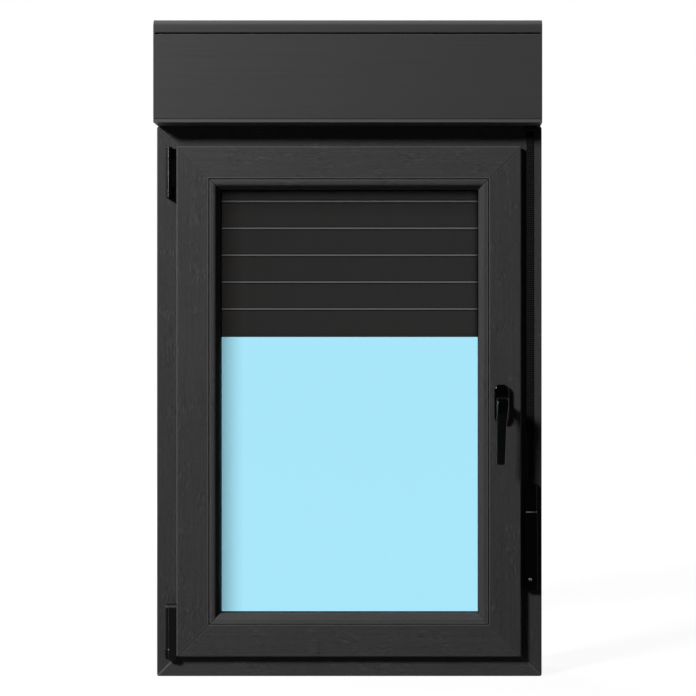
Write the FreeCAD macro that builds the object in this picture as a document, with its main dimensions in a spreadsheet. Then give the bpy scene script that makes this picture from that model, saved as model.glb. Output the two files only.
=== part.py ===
import FreeCAD
import Part
import math
import os
import Sketcher

# A tilt and turn window with a roller shutter box on top, seen from the room.
# X runs along the window, Y from the room to outdoors, Z up.
# The origin is the middle of the outer frame's bottom face.
# A "reach" is a distance measured inwards from the outer frame's edge.

SIZES = {
    # outer frame
    "frame_width": 700,
    "frame_height": 1000,
    "frame_depth": 70,
    "frame_face": 46.5,
    "frame_stop_reach": 67,
    "frame_stop_depth": 22,
    "frame_round": 2,
    "frame_corner": 4.5,
    # sash that opens into the room
    "sash_edge": 38.25,
    "sash_proud": 17,
    "sash_lip": 13.5,
    "sash_back_reach": 58.5,
    "sash_face_reach": 96.5,
    "sash_floor_reach": 98,
    "sight_line": 115,
    "outdoor_sight_line": 110,
    "sash_stop_step": 72,
    "sash_tail": 5,
    "sash_round": 2.5,
    "seal_gap": 3,
    "sash_seal_inset": 1.5,
    "sash_seal_width": 5,
    "frame_seal_inset": 1,
    # glazing
    "pane": 4,
    "pane_space": 16,
    "pane_reach": 103,
    "spacer_inset": 3,
    "spacer_bar": 7,
    "glazing_seal": 3,
    "glazing_seal_inset": 4,
    "seal_lip": 1.2,
    "glass_room_face": -22,
    "bead_room_face": -51.5,
    "bead_groove": 2.2,
    "bead_flat_reach": 107.5,
    "bead_slope": 12,
    "bead_round": 7,
    # roller shutter box
    "box_inset": 2.5,
    "box_height": 185,
    "box_proud": 50,
    "box_depth": 165,
    "box_wall": 8,
    "box_round": 4,
    "box_top_round": 14,
    "box_strip": 25,
    "box_groove": 2.6,
    "box_lap": 6,
    "box_lap_fit": 0.3,
    "box_foot": 7,
    "box_foot_step": 1.2,
    "box_foot_edge": 3,
    "box_foot_round": 1,
    "end_cap": 3,
    "curtain_room": 3,
    # shutter guides and curtain
    "guide_depth": 45,
    "guide_reach": 53,
    "guide_slot_floor": 20,
    "guide_slot": 14.6,
    "curtain_middle": 58,
    "slat_count": 7,
    "slat_pitch": 50.4,
    "slat_depth": 14,
    "slat_gap": 0.4,
    "slat_nose": 1.6,
    "slat_nose_height": 4,
    "slat_tongue": 5,
    "slat_tongue_height": 7,
    "slat_bulge": 2.5,
    "slat_curve": 200,
    "slat_round": 1.5,
    "slat_fit": 0.3,
    "curtain_end_gap": 3,
    "curtain_drop": 382,
    "stop_width": 22,
    "stop_height": 26,
    "stop_proud": 12,
    "stop_inset": 110,
    "stop_low": 12,
    "stop_corner": 2,
    # hinges
    "hinge_sash_gap": 0.3,
    "hinge_width": 20.5,
    "hinge_plate": 6,
    "hinge_corner": 4,
    "barrel_inset": 6.8,
    "barrel_round": 4.8,
    "barrel_gap": 0.4,
    "pin_round": 2.5,
    "pin_fit": 0.05,
    "leaf_gap": 0.4,
    "arm_depth": 4,
    "top_hinge_height": 102,
    "top_hinge_slant": 4,
    "top_hinge_foot": 11,
    "top_knuckle": 21.5,
    "top_knuckle_drop": 0.6,
    "low_knuckle": 28.5,
    "low_hinge_drop": 8,
    "low_hinge_foot": 20,
    "low_hinge_cover": 75,
    "low_hinge_depth": 13.5,
    "low_hinge_cap": 6.5,
    "low_hinge_bevel": 1,
    # handle
    "handle_inset": 35.5,
    "handle_height": 496,
    "rosette_width": 27,
    "rosette_height": 70,
    "rosette_depth": 11,
    "rosette_round": 11,
    "rosette_edge": 2.4,
    "neck_round": 8.5,
    "neck_fit": 0.3,
    "lever_head_width": 22,
    "lever_head_rise": 15,
    "lever_head_round": 8,
    "lever_width": 18,
    "lever_neck_drop": 38,
    "lever_tip_width": 15.4,
    "lever_head_depth": 43,
    "lever_depth": 10,
    "lever_tip_depth": 8,
    "lever_tip_back": 2,
    "lever_shoulder": 6,
    "lever_length": 107,
    "lever_bend": 14,
    "lever_sweep": 56,
    "lever_edge": 3,
    # strap and winder
    "strap_inset": 21,
    "strap_width": 14,
    "strap_thickness": 1.2,
    "strap_clear": 6,
    "strap_fit": 0.3,
    "strap_rise": 24,
    "strap_guide_height": 9,
    "strap_guide_wall": 3,
    "winder_inset": 19.5,
    "winder_width": 23,
    "winder_low": 158,
    "winder_height": 141,
    "winder_depth": 14,
    "winder_corner": 3,
    "hood_width": 21,
    "hood_height": 51,
    "hood_depth": 11,
    "hood_pocket": 20,
    "winder_bevel": 1.5,
    # water outlets on the outdoor side
    "outlet_width": 34,
    "outlet_height": 9,
    "outlet_depth": 4,
    "outlet_inset": 160,
    "outlet_low": 22,
    "outlet_bevel": 1.3,
}


class Size:
    """A length that keeps its number together with the sheet formula it comes from."""

    def __init__(self, number, formula):
        self.number = float(number)
        self.formula = formula

    def joined(self, other, sign, number):
        return Size(number, f"({self.formula} {sign} {formula_of(other)})")

    def __add__(self, other):
        return self.joined(other, "+", self.number + number_of(other))

    def __sub__(self, other):
        return self.joined(other, "-", self.number - number_of(other))

    def __mul__(self, other):
        return self.joined(other, "*", self.number * number_of(other))

    def __truediv__(self, other):
        return self.joined(other, "/", self.number / number_of(other))

    def __neg__(self):
        return Size(-self.number, f"(-1 * {self.formula})")


def number_of(value):
    return value.number if isinstance(value, Size) else float(value)


def formula_of(value):
    return value.formula if isinstance(value, Size) else repr(float(value))


# how far a cut runs past the material, and the slack that a test on an edge allows
CLEAR = 1
THROUGH = 200
SLACK = 0.01

doc = FreeCAD.newDocument("TiltAndTurnWindow")
sheet = doc.addObject("Spreadsheet::Sheet", "Sizes")
for row, (alias, number) in enumerate(SIZES.items(), start=1):
    sheet.set(f"A{row}", alias)
    sheet.set(f"B{row}", str(number))
    sheet.setAlias(f"B{row}", alias)
doc.recompute()


def size(alias):
    return Size(SIZES[alias], f"Sizes.{alias}")


# Places worked out from the sizes

half_width = size("frame_width") / 2
frame_top = size("frame_height")
room_face = -size("frame_depth") / 2
outdoor_face = size("frame_depth") / 2
frame_stop = outdoor_face - size("frame_stop_depth")
sash_room_face = room_face - size("sash_proud")
sash_lip_back = sash_room_face + size("sash_lip")
sash_back = frame_stop - size("seal_gap")
glass_out_face = size("glass_room_face") + size("pane") * 2 + size("pane_space")
glass_stop = glass_out_face + size("glazing_seal")
bead_back = size("glass_room_face") - size("glazing_seal")
sash_outer_back = frame_stop + size("sash_tail")
box_room_face = room_face - size("box_proud")
box_outdoor_face = box_room_face + size("box_depth")
box_top = frame_top + size("box_height")
half_box = half_width - size("box_inset")
half_panel = half_box - size("end_cap")

parts = []


def new_body(name):
    body = doc.addObject("PartDesign::Body", name)
    body.Label = name
    parts.append(body)
    return body


def origin_item(body, role):
    """The body's own plane or axis of that role."""
    return next(item for item in body.Origin.OriginFeatures if item.Role == role)


def rounded_corner(before, corner, after, radius):
    """Start point, end point and middle of the arc that rounds a corner."""
    back = (before - corner).normalize()
    ahead = (after - corner).normalize()
    half_angle = back.getAngle(ahead) / 2
    along = radius / math.tan(half_angle)
    middle = corner + (back + ahead).normalize() * (radius / math.sin(half_angle))
    return corner + back * along, corner + ahead * along, middle


def add_loop(sketch, corners):
    """A closed outline. Each corner is (x, y), or (x, y, radius) where it is rounded."""
    points = [FreeCAD.Vector(number_of(c[0]), number_of(c[1]), 0) for c in corners]
    count = len(corners)
    ends = []
    for index, corner in enumerate(corners):
        if len(corner) == 3:
            ends.append(rounded_corner(points[index - 1], points[index],
                                       points[(index + 1) % count], number_of(corner[2])))
        else:
            ends.append((points[index], points[index], None))
    lines = []
    for index in range(count):
        edge = Part.LineSegment(ends[index][1], ends[(index + 1) % count][0])
        lines.append(sketch.addGeometry(edge, False))
    for index, corner in enumerate(corners):
        line_in, line_out = lines[index - 1], lines[index]
        if len(corner) == 2:
            sketch.addConstraint(Sketcher.Constraint("Coincident", line_in, 2, line_out, 1))
            pin_point(sketch, line_out, 1, corner)
            continue
        start, end, middle = ends[index]
        turn = (points[index] - points[index - 1]).cross(points[(index + 1) % count] - points[index])
        first, last = (start, end) if turn.z > 0 else (end, start)
        circle = Part.Circle(middle, FreeCAD.Vector(0, 0, 1), number_of(corner[2]))
        angles = [math.atan2(p.y - middle.y, p.x - middle.x) for p in (first, last)]
        arc = sketch.addGeometry(Part.ArcOfCircle(circle, angles[0], angles[1]), False)
        arc_in, arc_out = (1, 2) if turn.z > 0 else (2, 1)
        tip = sketch.addGeometry(Part.Point(points[index]), True)
        sketch.addConstraint(Sketcher.Constraint("Tangent", line_in, 2, arc, arc_in))
        sketch.addConstraint(Sketcher.Constraint("Tangent", arc, arc_out, line_out, 1))
        rule = sketch.addConstraint(Sketcher.Constraint("Radius", arc, number_of(corner[2])))
        sketch.setExpression(f"Constraints[{rule}]", formula_of(corner[2]))
        sketch.addConstraint(Sketcher.Constraint("PointOnObject", tip, 1, line_in))
        sketch.addConstraint(Sketcher.Constraint("PointOnObject", tip, 1, line_out))
        pin_point(sketch, tip, 1, corner)


def pin_point(sketch, item, end, place):
    """Hold a point of the sketch at a place given by sheet formulas."""
    for kind, value in (("DistanceX", place[0]), ("DistanceY", place[1])):
        rule = sketch.addConstraint(Sketcher.Constraint(kind, -1, 1, item, end, number_of(value)))
        sketch.setExpression(f"Constraints[{rule}]", formula_of(value))


def add_circle(sketch, circle):
    """A circle given as (x, y, radius)."""
    middle = FreeCAD.Vector(number_of(circle[0]), number_of(circle[1]), 0)
    shape = Part.Circle(middle, FreeCAD.Vector(0, 0, 1), number_of(circle[2]))
    item = sketch.addGeometry(shape, False)
    rule = sketch.addConstraint(Sketcher.Constraint("Radius", item, number_of(circle[2])))
    sketch.setExpression(f"Constraints[{rule}]", formula_of(circle[2]))
    pin_point(sketch, item, 3, circle)


def new_sketch(body, role, loops, circles, low, high):
    """Loops and circles on a plane of the body, moved so that a prism spans low to high."""
    sketch = body.newObject("Sketcher::SketchObject", f"{body.Name}_sketch")
    sketch.AttachmentSupport = [(origin_item(body, role), "")]
    sketch.MapMode = "FlatFace"
    shift = -high if role == "XZ_Plane" else low
    sketch.setExpression(".AttachmentOffset.Base.z", formula_of(shift))
    for loop in loops:
        add_loop(sketch, loop)
    for circle in circles:
        add_circle(sketch, circle)
    return sketch


def prism(body, role, low, high, loops=(), circles=()):
    """Material between low and high, measured along the plane's own axis."""
    sketch = new_sketch(body, role, loops, circles, low, high)
    pad = body.newObject("PartDesign::Pad", f"{body.Name}_pad")
    pad.Profile = sketch
    pad.Length = number_of(high) - number_of(low)
    pad.setExpression("Length", f"{formula_of(high)} - {formula_of(low)}")
    sketch.Visibility = False
    doc.recompute()
    return pad


def cut(body, role, low, high, loops=(), circles=()):
    """Material taken away between low and high."""
    before = body.Shape.Volume
    sketch = new_sketch(body, role, loops, circles, low, high)
    pocket = body.newObject("PartDesign::Pocket", f"{body.Name}_cut")
    pocket.Profile = sketch
    pocket.Reversed = True
    pocket.Length = number_of(high) - number_of(low)
    pocket.setExpression("Length", f"{formula_of(high)} - {formula_of(low)}")
    sketch.Visibility = False
    doc.recompute()
    if body.Shape.Volume > before - SLACK:
        raise ValueError(f"{body.Name}: a cut takes nothing away")
    return pocket


def round_edges(body, radius, wanted):
    """Fillet the edges of the body's shape so far that the test picks out."""
    base = body.Tip
    names = [f"Edge{index}" for index, edge in enumerate(base.Shape.Edges, start=1) if wanted(edge)]
    fillet = body.newObject("PartDesign::Fillet", f"{body.Name}_round")
    fillet.Base = (base, names)
    fillet.Radius = number_of(radius)
    fillet.setExpression("Radius", formula_of(radius))
    doc.recompute()
    return fillet


def bevel_edges(body, width, wanted):
    """Chamfer the edges of the body's shape so far that the test picks out."""
    base = body.Tip
    names = [f"Edge{index}" for index, edge in enumerate(base.Shape.Edges, start=1) if wanted(edge)]
    chamfer = body.newObject("PartDesign::Chamfer", f"{body.Name}_bevel")
    chamfer.Base = (base, names)
    chamfer.Size = number_of(width)
    chamfer.setExpression("Size", formula_of(width))
    doc.recompute()
    return chamfer


def rectangle(left, low, right, high, radius=None):
    corners = [(left, low), (right, low), (right, high), (left, high)]
    return corners if radius is None else [corner + (radius,) for corner in corners]


def block(name, low, high):
    """A plain box between two opposite corners."""
    item = doc.addObject("Part::Box", name)
    item.Label = name
    for side, start, end in zip(("Length", "Width", "Height"), low, high):
        item.setExpression(side, f"{formula_of(end)} - {formula_of(start)}")
    for axis, start in zip("xyz", low):
        item.setExpression(f".Placement.Base.{axis}", formula_of(start))
    parts.append(item)
    return item


# Mitred lengths: one section, run along one side of the window and cut at 45 degrees

zero = size("frame_width") * 0
MITRE_OVERRUN = 40
CUT_MARGIN = 20
mitre_reach = size("sight_line") + MITRE_OVERRUN


def mitre_triangles(side):
    """The two end triangles, seen from the room, that a length on one side loses."""
    margin, reach = -zero - CUT_MARGIN, mitre_reach
    if side in ("bottom", "top"):
        left = [(-half_width + margin, margin), (-half_width + reach, reach), (-half_width + margin, reach)]
        right = [(-x, z) for x, z in reversed(left)]
        both = [left, right]
        if side == "top":
            both = [[(x, frame_top - z) for x, z in reversed(one)] for one in both]
        return both
    low = [(-half_width + margin, margin), (-half_width + reach, margin), (-half_width + reach, reach)]
    high = [(x, frame_top - z) for x, z in reversed(low)]
    both = [low, high]
    if side == "right":
        both = [[(-x, z) for x, z in reversed(one)] for one in both]
    return both


def mitred_length(name, side, section):
    """A section of (reach, depth) corners along one side of the window."""
    body = new_body(name)
    if side in ("bottom", "top"):
        upright = {"bottom": lambda reach: reach, "top": lambda reach: frame_top - reach}[side]
        corners = [(corner[1], upright(corner[0])) + tuple(corner[2:]) for corner in section]
        prism(body, "YZ_Plane", -half_width, half_width, [corners])
    else:
        across = {"left": lambda reach: reach - half_width, "right": lambda reach: half_width - reach}[side]
        corners = [(across(corner[0]), corner[1]) + tuple(corner[2:]) for corner in section]
        prism(body, "XY_Plane", zero, frame_top, [corners])
    cut(body, "XZ_Plane", zero - THROUGH, zero + THROUGH, mitre_triangles(side))
    return body


def ring(name, outer_reach, inner_reach, low, high):
    """A closed loop of seal between two reaches and two depths."""
    body = new_body(name)
    loops = []
    for reach in (outer_reach, inner_reach):
        loops.append(rectangle(reach - half_width, reach, half_width - reach, frame_top - reach))
    prism(body, "XZ_Plane", low, high, loops)
    return body


# Outer frame

frame_section = [
    (zero, room_face, size("frame_round")),
    (size("frame_face"), room_face, size("frame_round") / 2),
    (size("frame_face"), frame_stop),
    (size("frame_stop_reach"), frame_stop),
    (size("frame_stop_reach"), outdoor_face, size("frame_round")),
    (zero, outdoor_face, size("frame_round") / 2),
]
for name, side in (("frame_sill", "bottom"), ("frame_head", "top"),
                   ("frame_jamb_left", "left"), ("frame_jamb_right", "right")):
    length = mitred_length(name, side, frame_section)
    # the frame's outer corners are slightly rounded, seen from the room
    outside = rectangle(-half_width - CUT_MARGIN, -zero - CUT_MARGIN,
                        half_width + CUT_MARGIN, frame_top + CUT_MARGIN)
    inside = rectangle(-half_width, zero, half_width, frame_top, size("frame_corner"))
    cut(length, "XZ_Plane", zero - THROUGH, zero + THROUGH, [outside, inside])

# Sash

sash_section = [
    (size("sash_edge"), sash_room_face, size("sash_round")),
    (size("sash_face_reach"), sash_room_face, size("sash_round") / 4),
    (size("sash_face_reach"), bead_back),
    (size("sash_floor_reach"), bead_back),
    (size("sash_floor_reach"), glass_stop),
    (size("outdoor_sight_line"), glass_stop),
    (size("outdoor_sight_line"), sash_outer_back, size("sash_round")),
    (size("sash_stop_step"), sash_outer_back),
    (size("sash_stop_step"), sash_back),
    (size("sash_back_reach"), sash_back),
    (size("sash_back_reach"), sash_lip_back),
    (size("sash_edge"), sash_lip_back),
]
mitred_length("sash_bottom_rail", "bottom", sash_section)
mitred_length("sash_top_rail", "top", sash_section)
mitred_length("sash_stile_left", "left", sash_section)
mitred_length("sash_stile_right", "right", sash_section)

# Glazing beads

bead_face = size("bead_room_face")
bead_section = [
    (size("sash_face_reach"), bead_face + size("bead_groove")),
    (size("sash_floor_reach"), bead_face + size("bead_groove")),
    (size("sash_floor_reach"), bead_face, size("sash_round") / 4),
    (size("bead_flat_reach"), bead_face, size("bead_round")),
    (size("sight_line"), bead_face + size("bead_slope")),
    (size("sight_line"), bead_back),
    (size("sash_face_reach"), bead_back),
]
mitred_length("bead_bottom", "bottom", bead_section)
mitred_length("bead_top", "top", bead_section)
mitred_length("bead_left", "left", bead_section)
mitred_length("bead_right", "right", bead_section)

# Double glazing: two panes, the spacer between them and the seals that hold them

pane_left = size("pane_reach") - half_width
pane_low = size("pane_reach")
pane_high = frame_top - size("pane_reach")
inner_back = size("glass_room_face") + size("pane")
outer_front = inner_back + size("pane_space")
block("glass_inner_pane", (pane_left, size("glass_room_face"), pane_low), (-pane_left, inner_back, pane_high))
block("glass_outer_pane", (pane_left, outer_front, pane_low), (-pane_left, glass_out_face, pane_high))
spacer_reach = size("pane_reach") + size("spacer_inset")
ring("glass_spacer", spacer_reach, spacer_reach + size("spacer_bar"), inner_back, outer_front)

seal_reach = size("pane_reach") + size("glazing_seal_inset")
ring("glazing_seal_room", seal_reach, size("sight_line") + size("seal_lip"), bead_back, size("glass_room_face"))
ring("glazing_seal_outdoors", seal_reach, size("outdoor_sight_line") + size("seal_lip"),
     glass_out_face, glass_stop)
sash_seal_reach = size("sash_edge") + size("sash_seal_inset")
ring("sash_seal", sash_seal_reach, sash_seal_reach + size("sash_seal_width"), sash_lip_back, room_face)
ring("frame_seal", size("sash_back_reach") + size("frame_seal_inset"),
     size("frame_stop_reach") - size("frame_seal_inset"), sash_back, frame_stop)

# Depths that the shutter and its box share

slot_near = size("curtain_middle") - size("guide_slot") / 2
slot_far = size("curtain_middle") + size("guide_slot") / 2
slat_near = size("curtain_middle") - size("slat_depth") / 2
slat_far = size("curtain_middle") + size("slat_depth") / 2
strap_middle = half_width - size("strap_inset")
half_strap = size("strap_width") / 2
strap_fit = size("strap_fit")
strap_back = room_face - size("strap_clear")
strap_front = strap_back - size("strap_thickness")
strap_room = [rectangle(strap_middle - half_strap - strap_fit, strap_front - strap_fit,
                        strap_middle + half_strap + strap_fit, strap_back + strap_fit)]

# Roller shutter box

wall = size("box_wall")
strip_low = box_top - size("box_strip")
box_soft = size("box_round")
top_soft = size("box_top_round")
lap_face = box_room_face + wall / 2
lap_high = strip_low + size("box_lap")
lap_fit = size("box_lap_fit")

# a step near the box's foot, below it a face that slopes out again to catch the light
box_foot = [
    (box_room_face, frame_top + size("box_foot")),
    (box_room_face + size("box_foot_step"), frame_top + size("box_foot")),
    (box_room_face, frame_top + size("box_foot_edge"), size("box_foot_round")),
    (box_room_face + size("box_foot_step"), frame_top, size("box_foot_round")),
]

room_panel = new_body("box_room_panel")
prism(room_panel, "YZ_Plane", -half_panel, half_panel, [box_foot + [
    (box_room_face + wall, frame_top),
    (box_room_face + wall, lap_high),
    (lap_face, lap_high),
    (lap_face, strip_low - size("box_groove")),
    (box_room_face, strip_low - size("box_groove"), box_soft / 4),
]])

top_panel = new_body("box_top_panel")
prism(top_panel, "YZ_Plane", -half_panel, half_panel, [[
    (box_room_face, strip_low, box_soft / 2),
    (lap_face - lap_fit, strip_low),
    (lap_face - lap_fit, lap_high + lap_fit),
    (box_room_face + wall, lap_high + lap_fit),
    (box_room_face + wall, box_top - wall),
    (box_outdoor_face, box_top - wall),
    (box_outdoor_face, box_top, box_soft),
    (box_room_face, box_top, top_soft),
]])

outdoor_panel = new_body("box_outdoor_panel")
prism(outdoor_panel, "YZ_Plane", -half_panel, half_panel,
      [rectangle(box_outdoor_face - wall, frame_top, box_outdoor_face, box_top - wall)])

underside_panel = new_body("box_underside_panel")
prism(underside_panel, "YZ_Plane", -half_panel, half_panel,
      [rectangle(box_room_face + wall, frame_top, slat_near - size("curtain_room"), frame_top + wall)])

for name, low, high in (("box_end_cap_left", -half_box, -half_panel),
                        ("box_end_cap_right", half_panel, half_box)):
    cap = new_body(name)
    prism(cap, "YZ_Plane", low, high, [box_foot + [
        (box_outdoor_face, frame_top),
        (box_outdoor_face, box_top, box_soft),
        (box_room_face, box_top, top_soft),
    ]])

cut(underside_panel, "XY_Plane", frame_top - CLEAR, frame_top + wall + CLEAR, strap_room)

# Shutter guides on the outdoor side

guide_back = outdoor_face + size("guide_depth")
guide_round = size("frame_round")
guide_section = [
    (zero, outdoor_face),
    (size("guide_reach"), outdoor_face),
    (size("guide_reach"), slot_near, guide_round / 2),
    (size("guide_slot_floor"), slot_near),
    (size("guide_slot_floor"), slot_far),
    (size("guide_reach"), slot_far, guide_round / 2),
    (size("guide_reach"), guide_back, guide_round),
    (zero, guide_back, guide_round),
]
for name, sign in (("shutter_guide_left", -1), ("shutter_guide_right", 1)):
    guide = new_body(name)
    prism(guide, "XY_Plane", zero, frame_top, [[
        ((half_width - corner[0]) * sign,) + tuple(corner[1:]) for corner in guide_section
    ]])

# Shutter curtain: each slat's tongue sits in the groove of the slat above

half_curtain = half_width - size("guide_slot_floor") - size("curtain_end_gap")
middle = size("curtain_middle")
tongue = size("slat_tongue") / 2
fit = size("slat_fit")
nose = size("slat_nose")
curve = size("slat_curve")
slat_soft = size("slat_round")


def slat_outline(low, grooved):
    """A bowed slat: a nose at its foot, a tongue on top and a groove for the slat below."""
    top = low + size("slat_pitch") - size("slat_gap")
    tongue_top = top + size("slat_tongue_height")
    nose_top = low + size("slat_nose_height")
    half_way = low + size("slat_pitch") / 2
    outdoor_edge = slat_far - size("slat_bulge")
    corners = [
        (outdoor_edge, low, slat_soft),
        (slat_far, half_way, curve),
        (outdoor_edge, top, slat_soft),
        (middle + tongue, top),
        (middle + tongue, tongue_top, slat_soft),
        (middle - tongue, tongue_top, slat_soft),
        (middle - tongue, top),
        (slat_near + nose, top, slat_soft),
        (slat_near + nose + size("slat_bulge") / 2, half_way, curve),
        (slat_near + nose, nose_top + nose),
        (slat_near, nose_top, slat_soft / 2),
        (slat_near, low, slat_soft / 2),
    ]
    if grooved:
        roof = low + size("slat_tongue_height") - size("slat_gap") + fit
        corners += [
            (middle - tongue - fit, low),
            (middle - tongue - fit, roof),
            (middle + tongue + fit, roof),
            (middle + tongue + fit, low),
        ]
    return corners


bar_low = frame_top - size("curtain_drop")
bottom_bar = new_body("shutter_bottom_bar")
prism(bottom_bar, "YZ_Plane", -half_curtain, half_curtain, [slat_outline(bar_low, False)])

slats = new_body("shutter_slats")
slats.AllowCompound = True
first_slat = prism(slats, "YZ_Plane", -half_curtain, half_curtain,
                   [slat_outline(bar_low + size("slat_pitch"), True)])
pattern = slats.newObject("PartDesign::LinearPattern", "shutter_slats_pattern")
pattern.Originals = [first_slat]
pattern.Direction = (origin_item(slats, "Z_Axis"), [""])
pattern.setExpression("Occurrences", size("slat_count").formula)
pattern.setExpression("Length", (size("slat_pitch") * (size("slat_count") - 1)).formula)
slats.Tip = pattern
doc.recompute()

stops = new_body("shutter_stops")
stops.AllowCompound = True
stop_loops = []
for sign in (-1, 1):
    inner = (half_curtain - size("stop_inset")) * sign
    outer = inner + size("stop_width") * sign
    left, right = (outer, inner) if sign < 0 else (inner, outer)
    stop_loops.append(rectangle(left, slat_far, right, slat_far + size("stop_proud"), size("stop_corner")))
stop_low = bar_low + size("stop_low")
prism(stops, "XY_Plane", stop_low, stop_low + size("stop_height"), stop_loops)

# Hinges on the left: a frame leaf, a sash leaf and the pin they share

hinge_right = size("sash_edge") - half_width - size("hinge_sash_gap")
hinge_left = hinge_right - size("hinge_width")
barrel_middle = hinge_left + size("barrel_inset")
plate_front = room_face - size("hinge_plate")
barrel_depth = plate_front - size("barrel_gap") - size("barrel_round")
barrel = (barrel_middle, barrel_depth, size("barrel_round"))
pin_circle = (barrel_middle, barrel_depth, size("pin_round"))
pin_hole = (barrel_middle, barrel_depth, size("pin_round") + size("pin_fit"))
sash_left = size("sash_edge") - half_width
sash_high = frame_top - size("sash_edge")
arm_back = barrel_depth + size("arm_depth") / 2
arm_front = barrel_depth - size("arm_depth") / 2


def knuckle(body, start, end):
    """A round knuckle that a web joins to the plate behind it."""
    prism(body, "XY_Plane", start, end, circles=[barrel])
    web = rectangle(barrel_middle - size("barrel_round"), barrel_depth,
                    barrel_middle + size("barrel_round"), plate_front + CLEAR)
    prism(body, "XY_Plane", start, end, [web])


def sash_arm(body, start, end):
    """The flat arm from the barrel to the sash's outer edge."""
    prism(body, "XY_Plane", start, end, [rectangle(barrel_middle, arm_front, sash_left, arm_back)])


# top hinge, its barrel split into three knuckles
top_high = sash_high - size("hinge_sash_gap")
top_low = top_high - size("top_hinge_height")
upper_cut = top_high - size("top_knuckle")
lower_cut = top_low + size("low_knuckle")
top_frame_leaf = new_body("top_hinge_frame_leaf")
prism(top_frame_leaf, "XZ_Plane", plate_front, room_face, [[
    (hinge_left, top_low + size("top_hinge_foot"), size("hinge_corner")),
    (hinge_right, top_low),
    (hinge_right, top_high - size("top_hinge_slant")),
    (hinge_left, top_high, size("hinge_corner") / 2),
]])
knuckle(top_frame_leaf, top_low + size("top_hinge_foot"), lower_cut)
knuckle(top_frame_leaf, upper_cut, top_high - size("top_knuckle_drop"))
cut(top_frame_leaf, "XY_Plane", top_low - CLEAR, top_high + CLEAR, circles=[pin_hole])

top_sash_leaf = new_body("top_hinge_sash_leaf")
knuckle_low = lower_cut + size("leaf_gap")
knuckle_high = upper_cut - size("leaf_gap")
prism(top_sash_leaf, "XY_Plane", knuckle_low, knuckle_high, circles=[barrel])
sash_arm(top_sash_leaf, knuckle_low, knuckle_high)
cut(top_sash_leaf, "XY_Plane", top_low - CLEAR, top_high + CLEAR, circles=[pin_hole])

top_pin = new_body("top_hinge_pin")
prism(top_pin, "XY_Plane", top_low + size("top_hinge_foot"), top_high - size("top_knuckle_drop"),
      circles=[pin_circle])

# bottom hinge: a foot on the frame, a cover on the sash side and a cap on the pin
low_end = size("sash_edge") - size("low_hinge_drop")
foot_high = low_end + size("low_hinge_foot")
cover_low = foot_high + size("leaf_gap")
cover_high = cover_low + size("low_hinge_cover")
cap_low = cover_high + size("leaf_gap")
cap_high = cap_low + size("low_hinge_cap")
cover_front = room_face - size("low_hinge_depth")
corner = size("hinge_corner")
bottom_frame_leaf = new_body("bottom_hinge_frame_leaf")
prism(bottom_frame_leaf, "XZ_Plane", cover_front, room_face, [[
    (hinge_left, low_end + corner, corner),
    (hinge_right - corner, low_end, corner),
    (hinge_right, low_end + corner, corner / 2),
    (hinge_right, foot_high),
    (hinge_left, foot_high),
]])
cover_outline = [
    (hinge_left, cover_front, corner),
    (hinge_right, cover_front, corner / 4),
    (hinge_right, room_face - size("leaf_gap")),
    (hinge_left, room_face - size("leaf_gap")),
]
bottom_sash_leaf = new_body("bottom_hinge_sash_leaf")
prism(bottom_sash_leaf, "XY_Plane", cover_low, cover_high, [cover_outline])
sash_arm(bottom_sash_leaf, cover_low, cover_high)
for leaf in (bottom_frame_leaf, bottom_sash_leaf):
    cut(leaf, "XY_Plane", low_end + corner, cap_high, circles=[pin_hole])
bottom_pin = new_body("bottom_hinge_pin")
prism(bottom_pin, "XY_Plane", cap_low, cap_high, [cover_outline])
bevel_edges(bottom_pin, size("low_hinge_bevel"),
            lambda edge: edge.BoundBox.ZMin > number_of(cap_high) - SLACK
            and edge.BoundBox.YMin < number_of(cover_front) + number_of(corner))
prism(bottom_pin, "XY_Plane", low_end + corner, cap_high, circles=[pin_circle])

# Handle: the rosette stays on the sash and the lever turns in it

across = half_width - size("sash_edge") - size("handle_inset")
upright = size("handle_height")
rosette_front = sash_room_face - size("rosette_depth")

rosette = new_body("handle_rosette")
half_rosette = size("rosette_width") / 2
prism(rosette, "XZ_Plane", rosette_front, sash_room_face, [rectangle(
    across - half_rosette, upright - size("rosette_height") / 2,
    across + half_rosette, upright + size("rosette_height") / 2, size("rosette_round"))])
bevel_edges(rosette, size("rosette_edge"),
            lambda edge: abs(edge.BoundBox.YMax - number_of(rosette_front)) < SLACK)
cut(rosette, "XZ_Plane", rosette_front - CLEAR, sash_room_face + CLEAR,
    circles=[(across, upright, size("neck_round") + size("neck_fit"))])

# the lever's side view, then its outline as seen from the room, then its soft front edges
lever = new_body("handle_lever")
head_left = across - size("lever_head_width") / 2
head_right = across + size("lever_head_width") / 2
grip_front = rosette_front - size("lever_head_depth")
grip_back = grip_front + size("lever_depth")
grip_end = upright - size("lever_length")
head_top = upright + size("lever_head_rise")
head_low = upright - size("neck_round")
head_back = grip_back + size("lever_shoulder")
prism(lever, "YZ_Plane", head_left, head_right, [[
    (head_back, head_top),
    (head_back, head_low),
    (grip_back, head_low - size("lever_shoulder"), size("lever_shoulder")),
    (grip_back + size("lever_tip_back"), grip_end),
    (grip_back + size("lever_tip_back") - size("lever_tip_depth"), grip_end),
    (grip_front, upright - size("lever_bend"), size("lever_sweep")),
    (grip_front, head_top, size("lever_bend")),
]])
outside = rectangle(head_left - CUT_MARGIN, grip_end - CUT_MARGIN,
                    head_right + CUT_MARGIN, head_top + CUT_MARGIN)
inside = [
    (head_left, head_top, size("lever_head_round")),
    (head_left, grip_end, size("lever_edge")),
    (head_left + size("lever_tip_width"), grip_end, size("lever_edge")),
    (head_left + size("lever_width"), upright - size("lever_neck_drop"), size("lever_sweep")),
    (head_right, upright, size("lever_sweep")),
    (head_right, head_top, size("lever_head_round")),
]
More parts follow.
